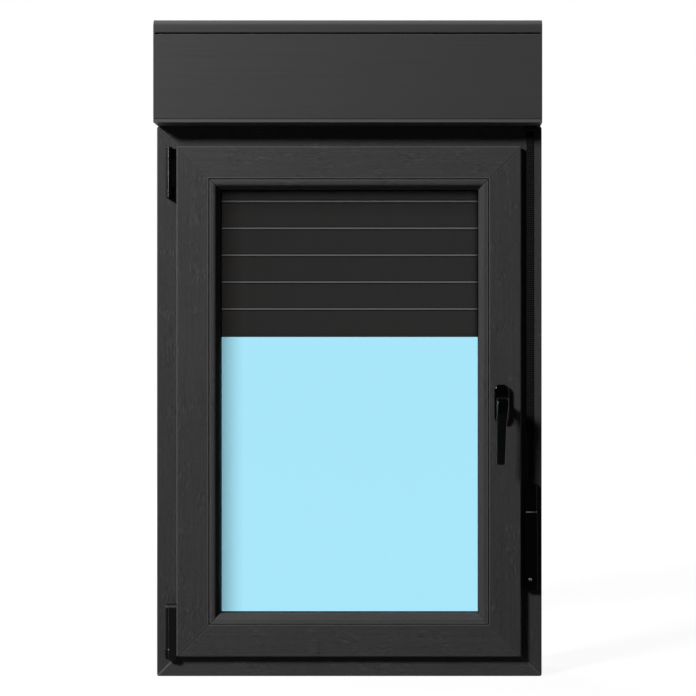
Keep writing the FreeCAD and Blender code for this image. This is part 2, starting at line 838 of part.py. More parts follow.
cut(lever, "XZ_Plane", grip_front - CUT_MARGIN, head_back + CUT_MARGIN, [outside, inside])
front_limit = number_of(grip_back) - number_of(size("lever_edge"))
round_edges(lever, size("lever_edge"),
            lambda edge: edge.BoundBox.YMax < front_limit and edge.BoundBox.ZLength > SLACK)
prism(lever, "XZ_Plane", head_back - CLEAR, sash_room_face - size("neck_fit"),
      circles=[(across, upright, size("neck_round"))])

# Lifting strap, its guide under the box and the winder on the right jamb

winder_high = size("winder_low") + size("winder_height")
hood_high = winder_high + size("hood_height")
strap_end = hood_high - size("hood_pocket")
winder_middle = half_width - size("winder_inset")
half_winder = size("winder_width") / 2
half_hood = size("hood_width") / 2
winder_front = room_face - size("winder_depth")
hood_front = room_face - size("hood_depth")

block("lift_strap", (strap_middle - half_strap, strap_front, strap_end),
      (strap_middle + half_strap, strap_back, frame_top + size("strap_rise")))

guide_low = frame_top - size("strap_guide_height")
guide_wall = size("strap_guide_wall")
strap_guide = new_body("strap_guide")
prism(strap_guide, "XY_Plane", guide_low, frame_top, [rectangle(
    strap_middle - half_strap - guide_wall, strap_front - guide_wall,
    strap_middle + half_strap + guide_wall, room_face)])
round_edges(strap_guide, guide_wall / 2,
            lambda edge: edge.BoundBox.ZMax < number_of(guide_low) + SLACK)
cut(strap_guide, "XY_Plane", guide_low - CLEAR, frame_top + CLEAR, strap_room)

winder_plate = new_body("winder_plate")
prism(winder_plate, "XZ_Plane", winder_front, room_face, [rectangle(
    winder_middle - half_winder, size("winder_low"), winder_middle + half_winder, winder_high,
    size("winder_corner"))])
bevel_edges(winder_plate, size("winder_bevel"),
            lambda edge: abs(edge.BoundBox.YMax - number_of(winder_front)) < SLACK)

winder_hood = new_body("winder_hood")
prism(winder_hood, "XZ_Plane", hood_front, room_face, [rectangle(
    winder_middle - half_hood, winder_high, winder_middle + half_hood, hood_high)])
bevel_edges(winder_hood, size("winder_bevel"),
            lambda edge: abs(edge.BoundBox.YMax - number_of(hood_front)) < SLACK)
cut(winder_hood, "XY_Plane", strap_end - strap_fit, hood_high + CLEAR, strap_room)

# Caps over the water outlets at the foot of the frame, outdoors

caps = new_body("outlet_caps")
caps.AllowCompound = True
cap_loops = []
for sign in (-1, 1):
    place = (half_width - size("outlet_inset")) * sign
    cap_loops.append(rectangle(place - size("outlet_width") / 2, size("outlet_low"),
                               place + size("outlet_width") / 2, size("outlet_low") + size("outlet_height")))
prism(caps, "XZ_Plane", outdoor_face, outdoor_face + size("outlet_depth"), cap_loops)
cap_face = number_of(outdoor_face + size("outlet_depth"))
bevel_edges(caps, size("outlet_bevel"), lambda edge: abs(edge.BoundBox.YMin - cap_face) < SLACK)

# Every piece is checked before anything is written

doc.recompute()
for item in doc.Objects:
    if "Invalid" in item.State or "Error" in item.State:
        raise ValueError(f"{item.Name} is in state {item.State}")
for item in parts:
    if item.Shape.isNull() or not item.Shape.isValid():
        raise ValueError(f"{item.Label} has no valid shape")

os.makedirs("parts", exist_ok=True)
for item in parts:
    item.Shape.exportStep(f"parts/{item.Label}.step")
print(len(parts), "pieces,", round(sum(item.Shape.Volume for item in parts) / 1e6, 2), "litres of solid")
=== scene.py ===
"""Looks of a grey tilt and turn window with a roller shutter box.

The room side faces -y, outdoors is +y and z points up. Lengths are in metres.
"""

import math

import bpy
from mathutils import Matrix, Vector


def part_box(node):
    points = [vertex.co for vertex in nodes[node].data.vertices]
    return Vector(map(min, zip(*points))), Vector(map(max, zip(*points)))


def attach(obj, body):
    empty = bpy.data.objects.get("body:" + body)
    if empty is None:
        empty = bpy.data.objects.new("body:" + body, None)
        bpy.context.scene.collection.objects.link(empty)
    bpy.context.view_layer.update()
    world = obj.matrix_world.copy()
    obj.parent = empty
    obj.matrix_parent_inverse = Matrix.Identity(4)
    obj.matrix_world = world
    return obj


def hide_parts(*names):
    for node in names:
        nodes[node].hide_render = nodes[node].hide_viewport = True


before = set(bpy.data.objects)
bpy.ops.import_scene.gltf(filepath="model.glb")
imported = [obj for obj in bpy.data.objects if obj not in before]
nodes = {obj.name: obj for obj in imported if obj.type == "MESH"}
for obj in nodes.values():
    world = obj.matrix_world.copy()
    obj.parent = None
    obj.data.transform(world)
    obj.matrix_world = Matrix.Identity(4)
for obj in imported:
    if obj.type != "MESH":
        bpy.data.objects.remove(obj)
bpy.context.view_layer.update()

MM = 0.001
QUARTER_TURN = math.radians(90)
FULL_TURN = math.radians(360)

# Plain colours, linear
WHITE = (1.0, 1.0, 1.0, 1.0)
BLACK = (0.0, 0.0, 0.0, 1.0)

# Places taken from the part
FRAME_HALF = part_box("frame_jamb_right")[1].x
FRAME_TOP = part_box("frame_head")[1].z
CURTAIN_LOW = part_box("shutter_bottom_bar")[0].z
CURTAIN_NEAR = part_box("shutter_bottom_bar")[0].y
STRAP_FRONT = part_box("lift_strap")[0].y
CAP_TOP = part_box("bottom_hinge_pin")[1].z

# Places that the photograph shows. The rims and the sight line count from the frame's outline.
SIGHT = 116.2 * MM
GLASS_LEFT = SIGHT - FRAME_HALF
GLASS_TOP = FRAME_TOP - SIGHT
# Bands beside the sash's and beads' grooves that take a painted highlight
SASH_HIGHLIGHT_RIM = (94.4 * MM, 96.6 * MM)
BEAD_HIGHLIGHT_RIM = (98.3 * MM, 100.4 * MM)
CAP_HEIGHT = 6.5 * MM


def grey(level, warmth=0.0):
    """A linear grey from a level of 0 to 255 as a screen shows it, a little warm or cool."""
    share = level / 255
    linear = ((share + 0.055) / 1.055) ** 2.4
    return (linear * (1 + warmth), linear, linear * (1 - warmth), 1.0)


# Painted highlights on edges and beside welds and grooves (also light flecks), on low welds and on slat lips
LIGHT_FLECK_AND_HIGHLIGHT = grey(104)
SEAM_HIGHLIGHT_COLOUR = grey(120)
SLAT_LIP_HIGHLIGHT = grey(140)


# Nodes that materials and the world share


def feed(tree, socket, value):
    """Sets a socket to a number or joins it to another node's output."""
    if isinstance(value, bpy.types.NodeSocket):
        tree.links.new(value, socket)
    else:
        socket.default_value = value


def math_of(tree, operation, first, second=0.0, clamp=False):
    """The result of a Math node."""
    node = tree.nodes.new("ShaderNodeMath")
    node.operation = operation
    node.use_clamp = clamp
    feed(tree, node.inputs[0], first)
    feed(tree, node.inputs[1], second)
    return node.outputs[0]


def spread_of(tree, value, low_in, high_in, low_out, high_out):
    """Carries a number from one range to another and keeps it in there."""
    node = tree.nodes.new("ShaderNodeMapRange")
    for socket, number in zip(node.inputs[1:5], (low_in, high_in, low_out, high_out)):
        socket.default_value = number
    tree.links.new(value, node.inputs[0])
    return node.outputs[0]


def parts_of(tree, vector):
    """The x, y and z of a vector."""
    node = tree.nodes.new("ShaderNodeSeparateXYZ")
    tree.links.new(vector, node.inputs[0])
    return node.outputs[0], node.outputs[1], node.outputs[2]


# Surfaces

# How much of a face's direction lies along one axis where an edge starts to turn, and where it has turned
TURN_START = 0.985
TURN_END = 0.88
SIDE_SOFT = 0.1

# The part of a noise that most of its values lie in
NOISE_MIDDLE = (0.3, 0.7)


class Surface:
    """One procedural material. Its patterns lie in the part's own frame."""

    def __init__(self, name, colour, roughness, specular=0.5):
        self.material = bpy.data.materials.new(name)
        self.material.use_nodes = True
        self.tree = self.material.node_tree
        self.shader = self.tree.nodes["Principled BSDF"]
        self.output = self.tree.nodes["Material Output"]
        self.colour = colour
        self.shader.inputs["Base Color"].default_value = colour
        self.shader.inputs["Roughness"].default_value = roughness
        self.shader.inputs["Specular IOR Level"].default_value = specular
        self.place = self.tree.nodes.new("ShaderNodeTexCoord").outputs["Object"]

    def link(self, start, end):
        self.tree.links.new(start, end)

    def math(self, operation, first, second=0.0, clamp=False):
        return math_of(self.tree, operation, first, second, clamp)

    def times(self, first, second):
        return self.math("MULTIPLY", first, second)

    def less(self, first, second):
        return self.math("SUBTRACT", first, second)

    def mean(self, first, second):
        return self.times(self.math("ADD", first, second), 0.5)

    def axes(self):
        """The x, y and z of each point."""
        return parts_of(self.tree, self.place)

    def noise(self, sizes, detail=3.0, roughness=0.5):
        """Noise from 0 to 1 whose grains are about as large as the three sizes given."""
        mapping = self.tree.nodes.new("ShaderNodeMapping")
        mapping.inputs["Scale"].default_value = [1 / size for size in sizes]
        self.link(self.place, mapping.inputs["Vector"])
        node = self.tree.nodes.new("ShaderNodeTexNoise")
        node.inputs["Scale"].default_value = 1.0
        node.inputs["Detail"].default_value = detail
        node.inputs["Roughness"].default_value = roughness
        self.link(mapping.outputs["Vector"], node.inputs["Vector"])
        return node.outputs["Fac"]

    def even_noise(self, size, detail=2.0):
        """Noise whose grains are as large one way as another."""
        return self.noise((size, size, size), detail)

    def spread(self, value, low_in, high_in, low_out, high_out):
        return spread_of(self.tree, value, low_in, high_in, low_out, high_out)

    def rise(self, value, low, high):
        """0 up to one number, 1 from another on, and a slope between them."""
        return self.spread(value, low, high, 0.0, 1.0)

    def fall(self, value, low, high):
        """1 up to one number, 0 from another on, and a slope between them."""
        return self.spread(value, low, high, 1.0, 0.0)

    def band(self, value, low, high, soft):
        """1 between two numbers and 0 outside them, with soft ends."""
        start = self.rise(value, low - soft, low + soft)
        end = self.fall(value, high - soft, high + soft)
        return self.times(start, end)

    def mix(self, share, first, second):
        """Blends two colours."""
        node = self.tree.nodes.new("ShaderNodeMix")
        node.data_type = "RGBA"
        feed(self.tree, node.inputs[0], share)
        feed(self.tree, node.inputs[6], first)
        feed(self.tree, node.inputs[7], second)
        return node.outputs[2]

    def vary(self, value, low, high):
        """Lets the base colour go from low to high times itself as a number goes from 0 to 1."""
        dark = tuple(part * low for part in self.colour[:3]) + (1.0,)
        light = tuple(part * high for part in self.colour[:3]) + (1.0,)
        return self.mix(value, dark, light)

    def edge_highlight_mask(self):
        """1 where a rounded edge turns left or up, towards the main lamp, and 0 on the flats and the other
        edges; it places painted highlights.
        """
        geometry = self.tree.nodes.new("ShaderNodeNewGeometry")
        across, depth, up = parts_of(self.tree, geometry.outputs["Normal"])
        most = self.math("ABSOLUTE", across)
        for part in (depth, up):
            most = self.math("MAXIMUM", most, self.math("ABSOLUTE", part))
        round_part = self.rise(most, TURN_START, TURN_END)
        # Only edges that face the main lamp, to the left and above, take the painted highlight
        facing_key = self.rise(self.less(up, across), -SIDE_SOFT, SIDE_SOFT)
        return self.times(round_part, facing_key)

    def colour_from(self, socket):
        self.link(socket, self.shader.inputs["Base Color"])

    def roughness_from(self, noise, low, high):
        """Lets the roughness go from low to high with the middle part of a noise."""
        self.link(self.spread(noise, *NOISE_MIDDLE, low, high), self.shader.inputs["Roughness"])

    def bump(self, height, depth, strength, under=None):
        """Raises the surface by height times depth, on top of another bump if one is given."""
        node = self.tree.nodes.new("ShaderNodeBump")
        node.inputs["Strength"].default_value = strength
        node.inputs["Distance"].default_value = depth
        self.link(height, node.inputs["Height"])
        if under is not None:
            self.link(under, node.inputs["Normal"])
        self.link(node.outputs["Normal"], self.shader.inputs["Normal"])
        return node.outputs["Normal"]


def along(axis, length, across):
    """Three grain sizes, long along one axis and small along the others."""
    sizes = [across, across, across]
    sizes["xyz".index(axis)] = length
    return sizes


# Grain of the pressed foil: length along the grain and width across it
STREAKS = (160 * MM, 3.2 * MM)
PORES = (9 * MM, 0.55 * MM)
FLECKS = (13 * MM, 2.4 * MM)
CLOUD = 90 * MM
FLECK_PATCH = 38 * MM

# Parts of a noise that count, from where it starts to where it is full
PIT_RANGE = (0.30, 0.46)
LIGHT_FLECKS = (0.56, 0.66)
DARK_FLECKS = (0.34, 0.44)
FLECKED_PATCHES = (0.52, 0.62)

# How far each mark covers the foil's own colour
PIT_SHARE = 0.30
FLECK_SHARE = 0.24
BESIDE_SEAM_HIGHLIGHT_SHARE = 0.40
RIM_HIGHLIGHT_SHARE = 0.35
SEAM_SHARE = 0.85

# The weld at each corner: the line fades from its middle out, and a band of painted highlight lies beside it
SEAM_FADE = (0.7 * MM, 1.3 * MM)
BESIDE_SEAM_HIGHLIGHT = (1.3 * MM, 2.7 * MM)
MARK_SOFT = 0.3 * MM
LOW_CORNER = (100 * MM, 101 * MM)
LOW_RIGHT_QUIET = 0.7
QUARTER_SOFT = 10 * MM


def from_edges(surface):
    """How far each point lies from the window's nearer side, and from its nearer end."""
    x, _, z = surface.axes()
    from_side = surface.less(FRAME_HALF, surface.math("ABSOLUTE", x))
    from_top = surface.less(FRAME_TOP, z)
    return from_side, surface.math("MINIMUM", z, from_top)


def seam_strength(surface, quiet):
    """How strong the welds are: less in the upper left by the quiet share, little in the lower right."""
    x, _, z = surface.axes()
    middle = FRAME_TOP / 2
    left = surface.spread(x, -QUARTER_SOFT, QUARTER_SOFT, quiet, 0.0)
    upper = surface.rise(z, middle - QUARTER_SOFT, middle + QUARTER_SOFT)
    right = surface.spread(x, -QUARTER_SOFT, QUARTER_SOFT, 0.0, LOW_RIGHT_QUIET)
    lower = surface.fall(z, middle - QUARTER_SOFT, middle + QUARTER_SOFT)
    hidden = surface.math("ADD", surface.times(left, upper), surface.times(right, lower))
    return surface.less(1.0, hidden)


def wood_foil(name, colour, axis, foot_seam_highlight=0.0, edge_highlight=0.5, specular=0.13, quiet=0.0, highlight_rim=None):
    """Foil with a pressed wood grain along one axis, with painted highlights on edges facing left or up,
    beside welds and beside grooves.

    The foot share makes the weld's line a painted highlight at the window's foot, quiet weakens the welds in
    the upper left, the edge share sets how strong the painted edge highlights are, and the rim is the band of
    painted highlight beside a groove, counted from the frame's outline.
    """
    surface = Surface(name, colour, roughness=0.45, specular=specular)
    streaks = surface.noise(along(axis, *STREAKS), detail=4.0, roughness=0.6)
    pores = surface.noise(along(axis, *PORES), detail=2.0)
    pits = surface.rise(pores, *PIT_RANGE)
    waves = surface.rise(streaks, *NOISE_MIDDLE)
    base = surface.vary(surface.mean(waves, surface.even_noise(CLOUD)), low=0.84, high=1.14)
    pored = surface.mix(surface.times(surface.less(1.0, pits), PIT_SHARE), base, BLACK)

    # flecks, in patches only
    flecks = surface.noise(along(axis, *FLECKS), detail=2.0, roughness=0.6)
    clusters = surface.even_noise(FLECK_PATCH, detail=1.0)
    patches = surface.spread(clusters, *FLECKED_PATCHES, 0.0, FLECK_SHARE)
    light_flecks = surface.times(surface.rise(flecks, *LIGHT_FLECKS), patches)
    dark_flecks = surface.times(surface.fall(flecks, *DARK_FLECKS), patches)
    flecked = surface.mix(dark_flecks, surface.mix(light_flecks, pored, LIGHT_FLECK_AND_HIGHLIGHT), BLACK)

    # painted highlights on edges facing left or up, beside each weld and on the rim beside a groove, then the
    # weld itself
    edge_highlit = surface.mix(surface.times(surface.edge_highlight_mask(), edge_highlight), flecked, LIGHT_FLECK_AND_HIGHLIGHT)
    from_side, from_end = from_edges(surface)
    off_seam = surface.math("ABSOLUTE", surface.less(from_side, from_end))
    strength = seam_strength(surface, quiet)
    # A band of painted highlight beside each weld
    beside_seam_highlight = surface.times(surface.band(off_seam, *BESIDE_SEAM_HIGHLIGHT, MARK_SOFT), strength)
    marked = surface.mix(surface.times(beside_seam_highlight, BESIDE_SEAM_HIGHLIGHT_SHARE), edge_highlit, LIGHT_FLECK_AND_HIGHLIGHT)
    # A band of painted highlight on the rim beside a groove, where one is given
    if highlight_rim:
        from_outline = surface.math("MINIMUM", from_side, from_end)
        rim_highlight = surface.band(from_outline, *highlight_rim, MARK_SOFT)
        marked = surface.mix(surface.times(rim_highlight, RIM_HIGHLIGHT_SHARE), marked, LIGHT_FLECK_AND_HIGHLIGHT)
    line = surface.times(surface.fall(off_seam, *SEAM_FADE), strength)
    _, _, height = surface.axes()
    # Near the window's foot the weld's dark line turns into a painted highlight, by the foot share
    low_seam_highlight = surface.spread(height, *LOW_CORNER, foot_seam_highlight, 0.0)
    line_colour = surface.mix(low_seam_highlight, BLACK, SEAM_HIGHLIGHT_COLOUR)
    surface.colour_from(surface.mix(surface.times(line, SEAM_SHARE), marked, line_colour))

    surface.roughness_from(streaks, low=0.40, high=0.52)
    coarse = surface.bump(waves, depth=0.10 * MM, strength=0.6)
    surface.bump(pits, depth=0.07 * MM, strength=0.6, under=coarse)
    return surface.material


BOX_STREAKS = (260 * MM, 2.4 * MM)
BOX_GRAIN = (12 * MM, 0.7 * MM)
BOX_FOOT_HIGHLIGHT = 3.2 * MM
BOX_FOOT_HIGHLIGHT_SOFT = 0.4 * MM
BOX_EDGE_HIGHLIGHT_SHARE = 0.7


def box_foil(name, colour):
    """The shutter box's smoother foil, with a faint grain from side to side, and painted highlights along its
    foot and on edges facing left or up.
    """
    surface = Surface(name, colour, roughness=0.45, specular=0.13)
    streaks = surface.noise(along("x", *BOX_STREAKS), detail=4.0, roughness=0.6)
    fine = surface.noise(along("x", *BOX_GRAIN), detail=2.0)
    base = surface.vary(surface.mean(streaks, fine), low=0.90, high=1.10)
    _, _, height = surface.axes()
    # Painted highlights: a band along the box's foot and the rounded edges that face left or up
    foot = surface.band(height, FRAME_TOP, FRAME_TOP + BOX_FOOT_HIGHLIGHT, BOX_FOOT_HIGHLIGHT_SOFT)
    light = surface.math("MAXIMUM", surface.times(surface.edge_highlight_mask(), BOX_EDGE_HIGHLIGHT_SHARE), foot)
    surface.colour_from(surface.mix(light, base, LIGHT_FLECK_AND_HIGHLIGHT))
    surface.roughness_from(streaks, low=0.40, high=0.52)
    coarse = surface.bump(streaks, depth=0.08 * MM, strength=0.5)
    surface.bump(fine, depth=0.04 * MM, strength=0.4, under=coarse)
    return surface.material


PLASTIC_GRAIN = 0.6 * MM
PLASTIC_CLOUD = 30 * MM
PLASTIC_RANGE = (0.88, 1.12)


def moulded(name, colour, roughness, specular, grain=PLASTIC_GRAIN, depth=0.02 * MM, edge_highlight=0.0):
    """Moulded or painted surface with a fine even texture, and painted highlights on edges facing left or up
    if asked.
    """
    surface = Surface(name, colour, roughness, specular)
    fine = surface.even_noise(grain)
    broad = surface.even_noise(PLASTIC_CLOUD)
    base = surface.vary(broad, *PLASTIC_RANGE)
    surface.colour_from(surface.mix(surface.times(surface.edge_highlight_mask(), edge_highlight), base, LIGHT_FLECK_AND_HIGHLIGHT))
    least, most = PLASTIC_RANGE
    surface.roughness_from(broad, roughness * least, roughness * most)
    surface.bump(fine, depth, strength=0.6)
    return surface.material


CAP_CLOUD = 20 * MM
CAP_SHADED_END = 1.2 * MM


def cap_plastic(name, colour):
    """Grey cap of the low hinge, with painted shade where it meets the cover and along its top."""
    surface = Surface(name, colour, roughness=0.35, specular=0.4)
    fine = surface.even_noise(PLASTIC_GRAIN)
    broad = surface.even_noise(CAP_CLOUD)
    _, _, height = surface.axes()
    foot = CAP_TOP - CAP_HEIGHT
    light = surface.band(height, foot + CAP_SHADED_END, CAP_TOP - CAP_SHADED_END, MARK_SOFT)
    surface.colour_from(surface.mix(light, BLACK, surface.vary(broad, *PLASTIC_RANGE)))
    surface.roughness_from(broad, low=0.32, high=0.4)
    surface.bump(fine, depth=0.02 * MM, strength=0.6)
    return surface.material


# The curtain: a painted highlight on the lip at the foot of each slat, and a line of painted shade under it
SLAT_PITCH = 50.4 * MM
SLAT_LIP = (0.7 * MM, 3.4 * MM)
SLAT_LIP_SOFT = 0.15 * MM
UNDER_LIP_SHADE = (SLAT_PITCH - 1.8 * MM, SLAT_PITCH - 1.2 * MM)
UNDER_LIP_SHADE_SHARE = 0.6
ROOM_SIDE = (CURTAIN_NEAR + 4 * MM, CURTAIN_NEAR + 5 * MM)
ABOVE_BAR = (CURTAIN_LOW + 30 * MM, CURTAIN_LOW + 31 * MM)
SLAT_GRAIN = (40 * MM, 0.8 * MM)
SLAT_CLOUD = 60 * MM
OUTDOOR_SHINE = 0.3


def slat_paint(name, colour):
    """Paint of the curtain, dull on the room side and with a little shine outdoors, with a painted highlight
    on each slat's lip and painted shade in a line under it.
    """
    surface = Surface(name, colour, roughness=0.8, specular=0.0)
    _, depth, height = surface.axes()
    fine = surface.noise(along("x", *SLAT_GRAIN), detail=2.0)
    broad = surface.even_noise(SLAT_CLOUD)
    base = surface.vary(surface.mean(fine, broad), low=0.94, high=1.06)
    steps = surface.math("DIVIDE", surface.less(height, CURTAIN_LOW), SLAT_PITCH)
    above_foot = surface.times(surface.math("FRACT", steps), SLAT_PITCH)
    # A painted highlight on each slat's lip, shown on the room side above the bar, and painted shade in a
    # line under it
    lip_highlight = surface.band(above_foot, *SLAT_LIP, SLAT_LIP_SOFT)
    under = surface.rise(above_foot, *UNDER_LIP_SHADE)
    room_side = surface.fall(depth, *ROOM_SIDE)
    shown_lip_highlight = surface.times(lip_highlight, surface.times(room_side, surface.rise(height, *ABOVE_BAR)))
    dark = surface.mix(surface.times(under, UNDER_LIP_SHADE_SHARE), base, BLACK)
    surface.colour_from(surface.mix(shown_lip_highlight, dark, SLAT_LIP_HIGHLIGHT))
    surface.roughness_from(broad, low=0.46, high=0.58)
    shine = surface.spread(room_side, 0.0, 1.0, OUTDOOR_SHINE, 0.0)
    surface.link(shine, surface.shader.inputs["Specular IOR Level"])
    surface.bump(fine, depth=0.05 * MM, strength=0.5)
    return surface.material


# The lifting strap: threads, wear along it, and how deep its ribs are and how far in from their crests the
# ribs fade into painted shade
THREADS = (3 * MM, 0.35 * MM)
STRAP_WEAR = (8 * MM, 8 * MM, 40 * MM)
RIB_DEPTH = 0.5 * MM
CREST_DEPTH = RIB_DEPTH * 0.8
CREST_CURVE = 3.0


def webbing(name, colour):
    """Woven band: threads across and along, dull and slightly uneven, with painted shade in the grooves
    between its ribs.
    """
    surface = Surface(name, colour, roughness=0.8, specular=0.1)
    threads = surface.noise(along("z", *THREADS), detail=2.0)
    wear = surface.noise(STRAP_WEAR)
    _, depth, _ = surface.axes()
    # The grooves between the ribs are painted black as shade; the crests keep the woven colour
    near_front = surface.fall(depth, STRAP_FRONT, STRAP_FRONT + CREST_DEPTH)
    lit_crest = surface.math("POWER", near_front, CREST_CURVE)
    woven = surface.vary(surface.mean(threads, wear), low=0.7, high=1.6)
    surface.colour_from(surface.mix(lit_crest, BLACK, woven))
    surface.roughness_from(threads, low=0.7, high=0.9)
    surface.bump(threads, depth=0.08 * MM, strength=0.8)
    return surface.material


# How far the painted shade on the glass reaches in from its left and top edges
LEFT_REACH = 42 * MM
TOP_REACH = 52 * MM
SHADE_CURVE = 1.5


def shaded_edge(surface, distance, reach, depth):
    """1 away from an edge of the glass, and less by a depth close to it."""
    near = surface.math("SUBTRACT", 1.0, surface.math("DIVIDE", distance, reach), clamp=True)
    return surface.less(1.0, surface.times(surface.math("POWER", near, SHADE_CURVE), depth))


def glass(name, tint, left_shade, top_shade):
    """Clear tinted pane with painted shade along its left and top edges. Lamp light passes it as if it were
    open.
    """
    surface = Surface(name, tint, roughness=0.0, specular=0.05)
    surface.shader.inputs["Transmission Weight"].default_value = 1.0
    surface.shader.inputs["IOR"].default_value = 1.25
    x, _, z = surface.axes()
    left = shaded_edge(surface, surface.less(x, GLASS_LEFT), LEFT_REACH, left_shade)
    top = shaded_edge(surface, surface.less(GLASS_TOP, z), TOP_REACH, top_shade)
    surface.colour_from(surface.mix(surface.times(left, top), BLACK, tint))
    path = surface.tree.nodes.new("ShaderNodeLightPath")
    clear = surface.tree.nodes.new("ShaderNodeBsdfTransparent")
    clear.inputs["Color"].default_value = WHITE
    choice = surface.tree.nodes.new("ShaderNodeMixShader")
    passing = surface.math("MAXIMUM", path.outputs["Is Shadow Ray"], path.outputs["Is Diffuse Ray"])
    surface.link(passing, choice.inputs[0])
    surface.link(surface.shader.outputs[0], choice.inputs[1])
    surface.link(clear.outputs[0], choice.inputs[2])
    surface.link(choice.outputs[0], surface.output.inputs["Surface"])
    return surface.material


def dress(material, *names):
    """Gives CAD nodes one material."""
    for name in names:
        node = nodes[name]
        node.data.materials.clear()
        node.data.materials.append(material)


# Colours and finishes
TINT = (0.643, 0.912, 1.0, 1.0)
FOIL = grey(67)
# The uprights a little darker than the rails: painted shade, as less light falls on them
FRAME_FOIL_UPRIGHT_SHADED = grey(62)
SASH_FOIL_UPRIGHT_SHADED = grey(64)
BEAD_FOIL = grey(71)
# The bottom bead a little lighter than the others: painted light for its sloped face, which looks up into the
# lamps
BEAD_FOIL_LOW_LIT = grey(80)
SASH_LOOK = {"quiet": 0.85, "highlight_rim": SASH_HIGHLIGHT_RIM}
BEAD_LOOK = {"edge_highlight": 0.0, "specular": 0.04, "highlight_rim": BEAD_HIGHLIGHT_RIM}
GLOSS_LOOK = {"grain": 4 * MM, "depth": 0.01 * MM}
HANDLE_BLACK = moulded("handle_black", grey(1), roughness=0.1, specular=0.3, **GLOSS_LOOK)
WINDER_BLACK = moulded("winder_black", grey(2), roughness=0.35, specular=0.05)
STEEL = moulded("steel", grey(150), roughness=0.3, specular=0.5)
STEEL.node_tree.nodes["Principled BSDF"].inputs["Metallic"].default_value = 1.0
WEBBING = webbing("strap_webbing", grey(44))

dress(wood_foil("frame_foil_upright_shaded", FRAME_FOIL_UPRIGHT_SHADED, "z", foot_seam_highlight=1.0),
      "frame_jamb_left", "frame_jamb_right")
dress(wood_foil("frame_foil_across", FOIL, "x", foot_seam_highlight=1.0), "frame_sill", "frame_head")
dress(wood_foil("sash_foil_upright_shaded", SASH_FOIL_UPRIGHT_SHADED, "z", **SASH_LOOK),
      "sash_stile_left", "sash_stile_right")
dress(wood_foil("sash_foil_across", FOIL, "x", **SASH_LOOK), "sash_bottom_rail", "sash_top_rail")
dress(wood_foil("bead_foil_upright", BEAD_FOIL, "z", **BEAD_LOOK), "bead_left", "bead_right")
dress(wood_foil("bead_foil_across", BEAD_FOIL, "x", **BEAD_LOOK), "bead_top")
dress(wood_foil("bead_foil_low_lit", BEAD_FOIL_LOW_LIT, "x", **BEAD_LOOK), "bead_bottom")
dress(box_foil("box_foil", grey(66)),
      "box_room_panel", "box_top_panel", "box_outdoor_panel", "box_underside_panel",
      "box_end_cap_left", "box_end_cap_right")
dress(moulded("guide_paint", grey(56), roughness=0.55, specular=0.25, edge_highlight=0.3),
      "shutter_guide_left", "shutter_guide_right")
dress(slat_paint("slat_paint", grey(68, warmth=0.05)), "shutter_slats", "shutter_bottom_bar")
dress(moulded("stop_plastic", grey(24), roughness=0.45, specular=0.4), "shutter_stops", "strap_guide")
dress(moulded("cap_plastic", grey(56), roughness=0.5, specular=0.4), "outlet_caps")
dress(moulded("hinge_black", grey(1), roughness=0.12, specular=0.3, **GLOSS_LOOK),
      "top_hinge_frame_leaf", "top_hinge_sash_leaf", "top_hinge_pin")
dress(moulded("cover_black", grey(20), roughness=0.5, specular=0.08),
      "bottom_hinge_frame_leaf", "bottom_hinge_sash_leaf")
dress(cap_plastic("cap_grey", grey(46)), "bottom_hinge_pin")
dress(HANDLE_BLACK, "handle_rosette", "handle_lever")
dress(WINDER_BLACK, "winder_plate", "winder_hood")
dress(WEBBING, "lift_strap")
dress(moulded("seal_rubber", grey(3), roughness=0.8, specular=0.0),
      "glazing_seal_room", "glazing_seal_outdoors", "sash_seal", "frame_seal")
dress(moulded("spacer_metal", grey(26), roughness=0.4, specular=0.3), "glass_spacer")
dress(glass("pane_room", TINT, left_shade=0.5, top_shade=0.42), "glass_inner_pane")
dress(glass("pane_outdoors", TINT, left_shade=0.04, top_shade=0.04), "glass_outer_pane")

# Pieces that the solids leave plain


def piece(name, points, faces, material):
    """A smooth piece of its own that goes with the window."""
    mesh = bpy.data.meshes.new(name)
    mesh.from_pydata(points, [], faces)
    mesh.polygons.foreach_set("use_smooth", [True] * len(mesh.polygons))
    mesh.materials.append(material)
    made = bpy.data.objects.new(name, mesh)
    bpy.context.scene.collection.objects.link(made)
    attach(made, "window")
    return made


def stacked(rings):
    """Points and faces of closed loops laid one on another, with both ends closed."""
    count = len(rings[0])
    points = [point for ring in rings for point in ring]
    faces = []
    for level in range(len(rings) - 1):
        for step in range(count):
            a = level * count + step
            b = level * count + (step + 1) % count
            faces.append((a, b, b + count, a + count))
    faces.append(tuple(reversed(range(count))))
    faces.append(tuple(range(len(points) - count, len(points))))
    return points, faces


def rounded_outline(half_across, half_up, corner, steps=10):
    """Points of a rounded rectangle round the origin, anticlockwise from the right."""
    outline = []
    for side, (across, up) in enumerate(((1, 1), (-1, 1), (-1, -1), (1, -1))):
        for step in range(steps + 1):
            angle = QUARTER_TURN * (side + step / steps)
            outline.append((across * (half_across - corner) + corner * math.cos(angle),
                            up * (half_up - corner) + corner * math.sin(angle)))
    return outline


def soft_plate(name, node, corner, soft, material, steps=8):
    """A plate as large as a node, whose front edge is a quarter circle."""
    low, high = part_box(node)
    half_across = (high.x - low.x) / 2
    half_up = (high.z - low.z) / 2
    middle_x = (high.x + low.x) / 2
    middle_z = (high.z + low.z) / 2
    levels = [(high.y, 0.0)]
    for step in range(steps + 1):
        angle = QUARTER_TURN * step / steps
        levels.append((low.y + soft * (1 - math.sin(angle)), soft * (1 - math.cos(angle))))
    rings = []
    for depth, inset in levels:
        outline = rounded_outline(half_across - inset, half_up - inset, corner - inset)
        rings.append([(middle_x + x, depth, middle_z + z) for x, z in outline])
    points, faces = stacked(rings)
    return piece(name, points, faces, material)


